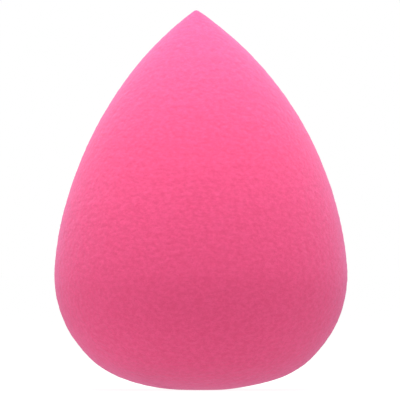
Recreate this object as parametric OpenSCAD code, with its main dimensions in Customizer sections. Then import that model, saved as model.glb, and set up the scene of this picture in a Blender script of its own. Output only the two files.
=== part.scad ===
// Drop-shaped makeup sponge: one seamless moulded piece of soft, open-cell foam.
// The pointed tip works into corners, and the broad round base works large areas.
// Millimetres, +Z up. The origin is the middle of the flat that the sponge stands on.
// The outline, from the base up: the flat, the bowl, the belly, the flank and the tip.

/* [Overall size] */
// Height from the resting flat to the top of the tip
sponge_h = 60; // [45:0.5:80]
// Diameter at the belly, which is the widest level
belly_d = 46.3; // [36:0.1:60]
// Height of the belly above the resting flat
belly_h = 18; // [14:0.5:24]

/* [Base] */
// Diameter of the flat that the sponge's weight presses where it stands
rest_d = 4; // [2:0.5:12]

/* [Tip] */
// Full angle between opposite sides of the tip, in degrees
tip_angle = 108; // [90:1:130]
// Radius that rounds the very point of the tip
tip_r = 0.7; // [0.3:0.1:3]

/* [Fullness] */
// How full the bowl is beside the flat, as a share of the way out to the belly
bowl_base_share = 0.79; // [0.3:0.01:0.9]
// How full the bowl is below the belly, as a share of the belly's height
bowl_side_share = 0.37; // [0.2:0.01:0.8]
// How full the flank is above the belly, as a share of the flank's height
flank_side_share = 0.12; // [0.05:0.01:0.3]
// How full the flank is below the tip, as a share of the way out to the belly
flank_tip_share = 0.87; // [0.6:0.01:0.95]

/* [Smoothness] */
// Straight steps that stand for each curve of the outline
curve_steps = 32; // [12:4:64]
// Straight steps that stand for half of the tip's rounding
tip_steps = 6; // [3:1:16]

/* [Hidden] */

foam_pink = [0.96, 0.37, 0.55];

// Facets round the axis in the preview
round_steps = 120;

belly_r = belly_d / 2;
rest_r = rest_d / 2;
flank_h = sponge_h - belly_h;

// Slope of the tip's sides from the axis, and where the rounding takes over from them
tip_slope = tip_angle / 2;
tip_centre_h = sponge_h - tip_r;
tip_edge = [tip_r * cos(tip_slope), tip_centre_h + tip_r * sin(tip_slope)];

// Length of the tip's straight pull, which ends at its share of the way out to the belly
tip_pull = flank_tip_share * belly_r / sin(tip_slope);

// Point at share t of the cubic curve from a to d, drawn towards b and then c
function curve_point(a, b, c, d, t) =
    pow(1 - t, 3) * a + 3 * pow(1 - t, 2) * t * b + 3 * (1 - t) * pow(t, 2) * c + pow(t, 3) * d;

// The whole cubic curve without its first point, so that stretches join end to end
function curve(a, b, c, d) =
    [for (i = [1 : curve_steps]) curve_point(a, b, c, d, i / curve_steps)];

// Level where it leaves the flat, and upright at the belly
function bowl_curve() = curve(
    [rest_r, 0],
    [rest_r + bowl_base_share * (belly_r - rest_r), 0],
    [belly_r, belly_h * (1 - bowl_side_share)],
    [belly_r, belly_h]);

// Upright at the belly, and at the tip's own slope where it meets the rounding
function flank_curve() = curve(
    [belly_r, belly_h],
    [belly_r, belly_h + flank_side_share * flank_h],
    tip_edge + tip_pull * [sin(tip_slope), -cos(tip_slope)],
    tip_edge);

// From the end of the flank to the very top, on the axis
function tip_arc() =
    [for (i = [1 : tip_steps])
        let (angle = tip_slope + (90 - tip_slope) * i / tip_steps)
        [tip_r * cos(angle), tip_centre_h + tip_r * sin(angle)]];

// Half of the drop's outline: distance from the axis, then height
function drop_outline() =
    concat([[0, 0], [rest_r, 0]], bowl_curve(), flank_curve(), tip_arc());

// The whole sponge, which has no seam, shell, core or fastener
module foam_body() {
    color(foam_pink)
        rotate_extrude($fn = round_steps)
            polygon(drop_outline());
}

foam_body();
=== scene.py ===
import math

import bpy
import numpy as np
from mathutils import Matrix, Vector, noise


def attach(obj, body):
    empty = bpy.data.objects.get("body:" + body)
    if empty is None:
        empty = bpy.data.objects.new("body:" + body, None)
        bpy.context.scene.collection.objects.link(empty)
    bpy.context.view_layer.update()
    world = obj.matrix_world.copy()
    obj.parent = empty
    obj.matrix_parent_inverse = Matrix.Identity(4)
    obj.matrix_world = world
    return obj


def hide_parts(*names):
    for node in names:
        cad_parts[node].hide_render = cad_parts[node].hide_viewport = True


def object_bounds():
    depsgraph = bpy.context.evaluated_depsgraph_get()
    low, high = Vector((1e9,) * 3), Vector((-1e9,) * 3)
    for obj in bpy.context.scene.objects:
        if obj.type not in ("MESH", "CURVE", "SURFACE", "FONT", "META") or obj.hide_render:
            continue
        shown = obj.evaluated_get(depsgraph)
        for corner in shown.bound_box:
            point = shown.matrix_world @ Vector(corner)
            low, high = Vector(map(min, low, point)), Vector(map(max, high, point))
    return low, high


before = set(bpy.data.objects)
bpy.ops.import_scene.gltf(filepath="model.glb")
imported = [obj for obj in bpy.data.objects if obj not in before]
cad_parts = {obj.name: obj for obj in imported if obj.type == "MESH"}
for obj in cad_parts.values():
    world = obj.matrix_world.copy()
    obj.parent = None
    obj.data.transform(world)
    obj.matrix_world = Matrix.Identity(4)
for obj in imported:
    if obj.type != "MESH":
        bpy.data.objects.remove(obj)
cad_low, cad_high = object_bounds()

# Lengths are in metres, and MM turns a size in millimetres into them
MM = 0.001
NODE = "foam_body"
# Corners of the CAD solid under this height count as lying on its flat
ON_FLAT = 0.001 * MM

# Outline of the drop: what the CAD solid's corners don't say about its curves
TIP_ANGLE = math.radians(108)
TIP_RADIUS = 0.7 * MM
BOWL_BASE_SHARE = 0.79
BOWL_SIDE_SHARE = 0.37
FLANK_SIDE_SHARE = 0.12
FLANK_TIP_SHARE = 0.87
CURVE_STEPS = 400
TIP_STEPS = 60

# Quads along each edge of the cube that the skin starts as
SKIN_QUADS = 128
# Gap that each of the skin's six charts keeps from its border, as a share of the map
CHART_GAP_SHARE = 0.004

# The tip leans to the left from this share of the height upwards
LEAN_START_SHARE = 0.58
LEAN = 0.75 * MM

# The skin is fuller round the base by this rise, at this height and over this reach either way
FULL_RISE = 0.13 * MM
FULL_HEIGHT = 3.6 * MM
FULL_REACH = 3.4 * MM
# The base is cut a little high at its right: the middle of the hollow, its reach and its depth
HOLLOW_PLACE = (8.6 * MM, -1.5 * MM, 0.7 * MM)
HOLLOW_REACH = 6 * MM
HOLLOW_DEPTH = 0.19 * MM

# The foam's grains are this much flatter along the sponge's axis than across it
FLATNESS = 1.4
# Relief of the foam's skin, as the size and height of each layer of lumps, and its shallow pits
LUMPS = ((15 * MM, 0.05 * MM), (2.8 * MM, 0.024 * MM), (1.3 * MM, 0.034 * MM), (0.7 * MM, 0.043 * MM))
PIT_SPACING = 1.6 * MM
PIT_RADIUS = 0.38 * MM
PIT_DEPTH = 0.014 * MM
# Pits differ in depth by noise, read so far apart that neighbours have nothing in common
PIT_NOISE_SCALE = 7.3
# The relief fades out over this height above the surface that the sponge rests on
REST_FADE = 1.2 * MM

# Colours as linear light: dense and airy foam, the painted shade in its pores, and its velvet sheen
FOAM_DENSE = (0.842, 0.0799, 0.2193)
FOAM_AIRY = (0.905, 0.0947, 0.2542)
PORE_SHADE_COLOUR = (0.70, 0.046, 0.147)
SHEEN_TINT = (0.35, 0.66, 1.0)
WHITE = (1.0, 1.0, 1.0)

# Patches of dense and airy foam, and its grains, from noise that mostly stays in NOISE_RANGE
PATCH_SIZE = 0.72 * MM
PATCH_DETAIL = 2.0
GRAIN_SIZE = 0.62 * MM
GRAIN_DETAIL = 0.0
NOISE_RANGE = (0.3, 0.7)
# Pores, one in each cell: soft dimples and fine pinholes. They are deepest up to PORE_FLOOR from the
# middle of the cell and end at their width, both as shares of the cell's size
PORE_FLOOR = 0.05
DIMPLE_CELL = 0.34 * MM
DIMPLE_WIDTH = 0.6
PINHOLE_CELL = 0.16 * MM
PINHOLE_WIDTH = 0.5
# Each pinhole's depth share, from its cell's random value
CHANCE_RANGE = (0.2, 0.7)
PINHOLE_DEPTHS = (0.1, 1.0)
# How strongly painted shade darkens the pores towards the pore colour, standing in for the shade inside them
DIMPLE_SHADE = 0.2
PINHOLE_SHADE = 0.8
# Height of the fine bump from the grains, and the pores' depths as shares of it
BUMP_DEPTH = 0.053 * MM
DIMPLE_BUMP = 0.06
PINHOLE_BUMP = 0.3
# How matte the foam is, how much gloss and sheen it has, and how far light spreads under its surface
ROUGHNESS_RANGE = (0.84, 0.96)
SPECULAR_LEVEL = 0.30
SHEEN_WEIGHT = 0.24
SHEEN_ROUGHNESS = 0.5
SCATTER_WEIGHT = 0.12
SCATTER_SCALE = 0.9 * MM
SCATTER_RADIUS = (1.0, 0.35, 0.45)

# Studio
FLOOR_SIZE = 6.0
CAMERA_DISTANCE = 2.0
# The camera's sensor in millimetres, which is how Blender takes it
SENSOR_WIDTH = 36
FRAME_PIXELS = 400
PIXELS_PER_MM = 6.33
# How far right of the photograph's middle the drop's axis stands
AXIS_PIXELS_RIGHT = 0.9
# Soft lamps: name, place, size in metres and power in watts
LAMPS = (
    ("top_light", (0, 0, 0.30), 0.3, 1.45),
    ("left_light", (-0.8, -0.1, 0.05), 0.5, 1.82),
    ("right_light", (0.5, -0.25, 0.6), 0.5, 0.76),
)


def cubic(a, b, c, d, steps):
    """Points of the cubic curve from a to d, drawn towards b and then c."""
    t = np.linspace(0, 1, steps + 1)[:, None]
    a, b, c, d = (np.array(point) for point in (a, b, c, d))
    return (1 - t)**3 * a + 3 * (1 - t)**2 * t * b + 3 * (1 - t) * t**2 * c + t**3 * d


def drop_outline():
    """Half of the drop's outline, as (radius, height) from the middle of the flat to the tip."""
    corners = [(math.hypot(v.co.x, v.co.y), v.co.z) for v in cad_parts[NODE].data.vertices]
    height = max(z for r, z in corners)
    belly_radius, belly_height = max(corners)
    rest_radius = max(r for r, z in corners if z < ON_FLAT)
    flank_height = height - belly_height

    slope = TIP_ANGLE / 2
    tip_centre = height - TIP_RADIUS
    tip_edge = np.array([TIP_RADIUS * math.cos(slope), tip_centre + TIP_RADIUS * math.sin(slope)])
    tip_pull = FLANK_TIP_SHARE * belly_radius / math.sin(slope)

    bowl = cubic((rest_radius, 0),
                 (rest_radius + BOWL_BASE_SHARE * (belly_radius - rest_radius), 0),
                 (belly_radius, belly_height * (1 - BOWL_SIDE_SHARE)),
                 (belly_radius, belly_height), CURVE_STEPS)
    flank = cubic((belly_radius, belly_height),
                  (belly_radius, belly_height + FLANK_SIDE_SHARE * flank_height),
                  tip_edge + tip_pull * np.array([math.sin(slope), -math.cos(slope)]),
                  tip_edge, CURVE_STEPS)
    angles = np.linspace(slope, math.pi / 2, TIP_STEPS + 1)
    tip = np.stack([TIP_RADIUS * np.cos(angles), tip_centre + TIP_RADIUS * np.sin(angles)], 1)
    return np.concatenate([[(0, 0)], bowl, flank[1:], tip[1:]])


def cube_quads(count):
    """A cube's surface as a grid: its corners from -1 to 1, its quads and each quad corner's chart place."""
    numbers, corners, quads, charts = {}, [], [], []
    for face in range(6):
        axis, side = face // 2, face % 2
        across, up = (axis + 1) % 3, (axis + 2) % 3

        def corner(i, j):
            place = [0, 0, 0]
            place[axis] = side * count
            place[across], place[up] = i, j
            key = tuple(place)
            if key not in numbers:
                numbers[key] = len(corners)
                corners.append(key)
            return numbers[key]

        for i in range(count):
            for j in range(count):
                ring = [(i, j), (i + 1, j), (i + 1, j + 1), (i, j + 1)]
                if not side:
                    ring.reverse()
                quads.append([corner(*place) for place in ring])
                charts.extend((face, a / count, b / count) for a, b in ring)
    return 2 * np.array(corners) / count - 1, quads, np.array(charts)


def on_drop(cube):
    """Each cube corner's place on the drop and the outward direction there, with quads of like area."""
    bulged = np.tan(cube * math.pi / 4)
    ball = bulged / np.linalg.norm(bulged, axis=1)[:, None]

    outline = drop_outline()
    step = np.diff(outline, axis=0)
    length = np.hypot(step[:, 0], step[:, 1])
    along = np.concatenate([[0], np.cumsum(length)])
    ring_area = length * (outline[1:, 0] + outline[:-1, 0])
    area = np.concatenate([[0], np.cumsum(ring_area)])
    tangent = np.gradient(outline, along, axis=0)
    tangent /= np.linalg.norm(tangent, axis=1)[:, None]

    place = np.interp((1 + ball[:, 2]) / 2, area / area[-1], along)
    radius, height = (np.interp(place, along, outline[:, k]) for k in (0, 1))
    rise, run = (np.interp(place, along, tangent[:, k]) for k in (1, 0))
    turn = np.arctan2(ball[:, 1], ball[:, 0])
    spots = np.stack([radius * np.cos(turn), radius * np.sin(turn), height], 1)
    outward = np.stack([rise * np.cos(turn), rise * np.sin(turn), -run], 1)
    return spots, outward / np.linalg.norm(outward, axis=1)[:, None]


def pit(spot):
    """Depth share of the foam's pit at a spot: 0 between pits, up to 1 in the deepest ones."""
    distances, centres = noise.voronoi(spot / PIT_SPACING)
    near = distances[0] * PIT_SPACING / PIT_RADIUS
    if near >= 1:
        return 0.0
    size = 0.5 + 0.5 * noise.noise(centres[0] * PIT_NOISE_SCALE)
    return size * (1 - near * near)**2


def relief(spot):
    """How far the foam's skin stands out from the smooth drop at a spot."""
    spot = Vector((spot.x, spot.y, spot.z * FLATNESS))
    lumps = sum(height * noise.noise(spot / size) for size, height in LUMPS)
    return lumps - pit(spot) * PIT_DEPTH


def bell(place):
    """1 at 0, falling smoothly to 0 at 1 and beyond."""
    return np.clip(1 - place * place, 0, 1)**2


def uneven_base(spots):
    """How far the base stands out from the smooth drop, where it is fuller or cut away."""
    full = FULL_RISE * bell((spots[:, 2] - FULL_HEIGHT) / FULL_REACH)
    from_hollow = np.linalg.norm(spots - HOLLOW_PLACE, axis=1)
    return full - HOLLOW_DEPTH * bell(from_hollow / HOLLOW_REACH)


def foam_mesh():
    """The skin of the whole sponge as one closed mesh of quads, with a chart for each side of the cube."""
    cube, quads, charts = cube_quads(SKIN_QUADS)
    spots, outward = on_drop(cube)
    height = spots[:, 2].max()

    fade = np.clip(spots[:, 2] / REST_FADE, 0, 1)
    fade = fade * fade * (3 - 2 * fade)
    raised = np.array([relief(Vector(spot)) for spot in spots])
    spots = spots + outward * (raised * fade + uneven_base(spots))[:, None]
    lean = np.clip((spots[:, 2] / height - LEAN_START_SHARE) / (1 - LEAN_START_SHARE), 0, 1)
    spots[:, 0] -= LEAN * lean**2
    spots[:, 2] = np.maximum(spots[:, 2], 0)

    mesh = bpy.data.meshes.new("sponge_skin")
    mesh.from_pydata(spots.tolist(), [], quads)
    mesh.polygons.foreach_set("use_smooth", [True] * len(quads))
    columns, rows = 3, 2
    inside = CHART_GAP_SHARE + (1 - 2 * CHART_GAP_SHARE) * charts[:, 1:]
    corner = np.stack([charts[:, 0] % columns, charts[:, 0] // columns], 1)
    places = (corner + inside) / (columns, rows)
    mesh.uv_layers.new(name="OFBake").uv.foreach_set("vector", places.astype(np.float32).ravel())
    mesh.update()
    return mesh


def add_node(tree, kind, settings=None, values=None):
    """A node of this kind, with its settings and its inputs' values."""
    node = tree.nodes.new(kind)
    for name, value in (settings or {}).items():
        setattr(node, name, value)
    for name, value in (values or {}).items():
        node.inputs[name].default_value = value
    return node


def opaque(colour):
    """The colour with an alpha of 1."""
    return (*colour, 1.0)


def foam_material():
    """Matte pink open-cell foam: cloudy colour, fine pores darkened with painted shade, and a velvety sheen.
    """
    material = bpy.data.materials.new("foam_pink")
    material.use_nodes = True
    tree = material.node_tree
    link = tree.links.new
    shader = tree.nodes["Principled BSDF"]
    flatter = add_node(tree, "ShaderNodeVectorMath", {"operation": "MULTIPLY"})
    flatter.inputs[1].default_value = (1, 1, FLATNESS)
    link(add_node(tree, "ShaderNodeTexCoord").outputs["Object"], flatter.inputs[0])
    place = flatter.outputs["Vector"]

    def grain(size, detail):
        """Soft noise about 0.5, with grains of this size."""
        field = add_node(tree, "ShaderNodeTexNoise", values={"Scale": 1 / size, "Detail": detail})
        link(place, field.inputs["Vector"])
        return field.outputs["Fac"]

    def spread(value, old, new):
        """The value, taken smoothly from the old range to the new one."""
        field = add_node(tree, "ShaderNodeMapRange", {"interpolation_type": "SMOOTHSTEP"},
                         {"From Min": old[0], "From Max": old[1], "To Min": new[0], "To Max": new[1]})
        link(value, field.inputs["Value"])
        return field.outputs["Result"]

    def maths(operation, first, second):
        """What the operation makes of two values, each a number or a socket."""
        field = add_node(tree, "ShaderNodeMath", {"operation": operation})
        for socket, value in zip(field.inputs, (first, second)):
            if isinstance(value, float):
                socket.default_value = value
            else:
                link(value, socket)
        return field.outputs["Value"]

    def tinted(share, first, second):
        """The first colour with a share of the second mixed in, each a colour or a socket."""
        field = add_node(tree, "ShaderNodeMix", {"data_type": "RGBA"})
        link(share, field.inputs["Factor"])
        for socket, value in ((field.inputs[6], first), (field.inputs[7], second)):
            if isinstance(value, tuple):
                socket.default_value = opaque(value)
            else:
                link(value, socket)
        return field.outputs[2]

    def pores(cell, width):
        """A pore in the middle of each cell, 1 where it is deepest, and each cell's own random value."""
        field = add_node(tree, "ShaderNodeTexVoronoi", {"feature": "F1"}, {"Scale": 1 / cell})
        link(place, field.inputs["Vector"])
        return spread(field.outputs["Distance"], (PORE_FLOOR, width), (1.0, 0.0)), field.outputs["Color"]

    dimple, _ = pores(DIMPLE_CELL, DIMPLE_WIDTH)
    pinhole, chance = pores(PINHOLE_CELL, PINHOLE_WIDTH)
    pinhole = maths("MULTIPLY", pinhole, spread(chance, CHANCE_RANGE, PINHOLE_DEPTHS))
    patch = spread(grain(PATCH_SIZE, PATCH_DETAIL), NOISE_RANGE, (0.0, 1.0))
    fine = grain(GRAIN_SIZE, GRAIN_DETAIL)

    body = tinted(patch, FOAM_DENSE, FOAM_AIRY)
    # Painted shade: the dimples and pinholes are darkened towards the pore colour, standing in for the shade
    # inside them
    body = tinted(maths("MULTIPLY", dimple, DIMPLE_SHADE), body, PORE_SHADE_COLOUR)
    body = tinted(maths("MULTIPLY", pinhole, PINHOLE_SHADE), body, PORE_SHADE_COLOUR)
    link(body, shader.inputs["Base Color"])

    height = maths("SUBTRACT", fine, maths("MULTIPLY", dimple, DIMPLE_BUMP))
    height = maths("SUBTRACT", height, maths("MULTIPLY", pinhole, PINHOLE_BUMP))
    bump = add_node(tree, "ShaderNodeBump", values={"Strength": 1.0, "Distance": BUMP_DEPTH})
    link(height, bump.inputs["Height"])
    link(bump.outputs["Normal"], shader.inputs["Normal"])
    link(spread(fine, NOISE_RANGE, ROUGHNESS_RANGE), shader.inputs["Roughness"])

    shader.inputs["Specular IOR Level"].default_value = SPECULAR_LEVEL
    shader.inputs["Sheen Weight"].default_value = SHEEN_WEIGHT
    shader.inputs["Sheen Roughness"].default_value = SHEEN_ROUGHNESS
    shader.inputs["Sheen Tint"].default_value = opaque(SHEEN_TINT)
    shader.inputs["Subsurface Weight"].default_value = SCATTER_WEIGHT
    shader.inputs["Subsurface Radius"].default_value = SCATTER_RADIUS
    shader.inputs["Subsurface Scale"].default_value = SCATTER_SCALE
    return material


def add_sponge():
    """Adds the sponge, which stands for the CAD solid."""
    piece = bpy.data.objects.new("sponge_foam", foam_mesh())
    bpy.context.scene.collection.objects.link(piece)
    piece.data.materials.append(foam_material())
    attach(piece, "root")
    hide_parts(NODE)


def seen_share(tree):
    """1 for rays from the camera, in gloss or through glass, which see the plain white studio."""
    path = add_node(tree, "ShaderNodeLightPath")
    share = path.outputs["Is Camera Ray"]
    for name in ("Is Glossy Ray", "Is Transmission Ray"):
        most = add_node(tree, "ShaderNodeMath", {"operation": "MAXIMUM"})
        tree.links.new(share, most.inputs[0])
        tree.links.new(path.outputs[name], most.inputs[1])
        share = most.outputs["Value"]
    return share


def studio_world(ambient):
    """Soft even light from all round, in front of which the background shows as white."""
    world = bpy.data.worlds.new("studio")
    bpy.context.scene.world = world
    world.use_nodes = True
    tree = world.node_tree
    lit = tree.nodes["Background"]
    lit.inputs["Color"].default_value = opaque(WHITE)
    lit.inputs["Strength"].default_value = ambient
    seen = add_node(tree, "ShaderNodeBackground", values={"Color": opaque(WHITE), "Strength": 1.0})
    mix = add_node(tree, "ShaderNodeMixShader")
    tree.links.new(seen_share(tree), mix.inputs["Fac"])
    tree.links.new(lit.outputs["Background"], mix.inputs[1])
    tree.links.new(seen.outputs["Background"], mix.inputs[2])
    tree.links.new(mix.outputs["Shader"], tree.nodes["World Output"].inputs["Surface"])


def studio_floor(albedo, glow, shadow_share, open_light):
    """Pale light table, which gives the sponge albedo of the light on it and a glow of its own.

    The camera sees it as white where open_light or more falls on it. Where less does, the camera
    sees shadow_share of the shadow.
    """
    half = FLOOR_SIZE / 2
    mesh = bpy.data.meshes.new("studio_floor")
    mesh.from_pydata([(-half, -half, 0), (half, -half, 0), (half, half, 0), (-half, half, 0)],
                     [], [(0, 1, 2, 3)])
    floor = bpy.data.objects.new("studio_floor", mesh)
    bpy.context.scene.collection.objects.link(floor)

    material = bpy.data.materials.new("studio_floor")
    material.use_nodes = True
    tree = material.node_tree
    tree.nodes.remove(tree.nodes["Principled BSDF"])
    paper = add_node(tree, "ShaderNodeBsdfDiffuse", values={"Color": opaque((albedo,) * 3)})
    table = add_node(tree, "ShaderNodeEmission", values={"Color": opaque(WHITE), "Strength": glow})
    lit = add_node(tree, "ShaderNodeAddShader")
    shade = add_node(tree, "ShaderNodeBsdfDiffuse", values={"Color": opaque((shadow_share,) * 3)})
    bright = add_node(tree, "ShaderNodeEmission",
                      values={"Color": opaque(WHITE), "Strength": 1 - open_light * shadow_share})
    both = add_node(tree, "ShaderNodeAddShader")
    mix = add_node(tree, "ShaderNodeMixShader")
    tree.links.new(shade.outputs[0], both.inputs[0])
    tree.links.new(bright.outputs[0], both.inputs[1])
    tree.links.new(paper.outputs[0], lit.inputs[0])
    tree.links.new(table.outputs[0], lit.inputs[1])
    tree.links.new(seen_share(tree), mix.inputs["Fac"])
    tree.links.new(lit.outputs[0], mix.inputs[1])
    tree.links.new(both.outputs[0], mix.inputs[2])
    tree.links.new(mix.outputs[0], tree.nodes["Material Output"].inputs["Surface"])
    mesh.materials.append(material)


def softbox(name, place, aim, size, power):
    """Square area light of this size in metres and power in watts, at place and facing aim."""
    data = bpy.data.lights.new(name, "AREA")
    data.size, data.energy = size, power
    lamp = bpy.data.objects.new(name, data)
    bpy.context.scene.collection.objects.link(lamp)
    lamp.location = place
    lamp.rotation_euler = (Vector(aim) - Vector(place)).to_track_quat("-Z", "Y").to_euler()


def studio_camera(middle):
    """Level camera in front of the sponge, framed as in the photograph."""
    data = bpy.data.cameras.new("camera")
    camera = bpy.data.objects.new("camera", data)
    bpy.context.scene.collection.objects.link(camera)
    bpy.context.scene.camera = camera
    frame_width = FRAME_PIXELS / PIXELS_PER_MM * MM
    data.sensor_width = SENSOR_WIDTH
    data.lens = SENSOR_WIDTH * CAMERA_DISTANCE / frame_width
    aside = -AXIS_PIXELS_RIGHT / PIXELS_PER_MM * MM
    camera.location = middle + Vector((aside, -CAMERA_DISTANCE, 0))
    camera.rotation_euler = (math.pi / 2, 0, 0)


middle = (cad_low + cad_high) / 2
add_sponge()
studio_world(ambient=0.475)
studio_floor(albedo=0.1, glow=0.73, shadow_share=0.16, open_light=0.48)
for name, place, size, power in LAMPS:
    softbox(name, place, middle, size, power)
studio_camera(middle)
bpy.context.scene.view_settings.view_transform = "Standard"
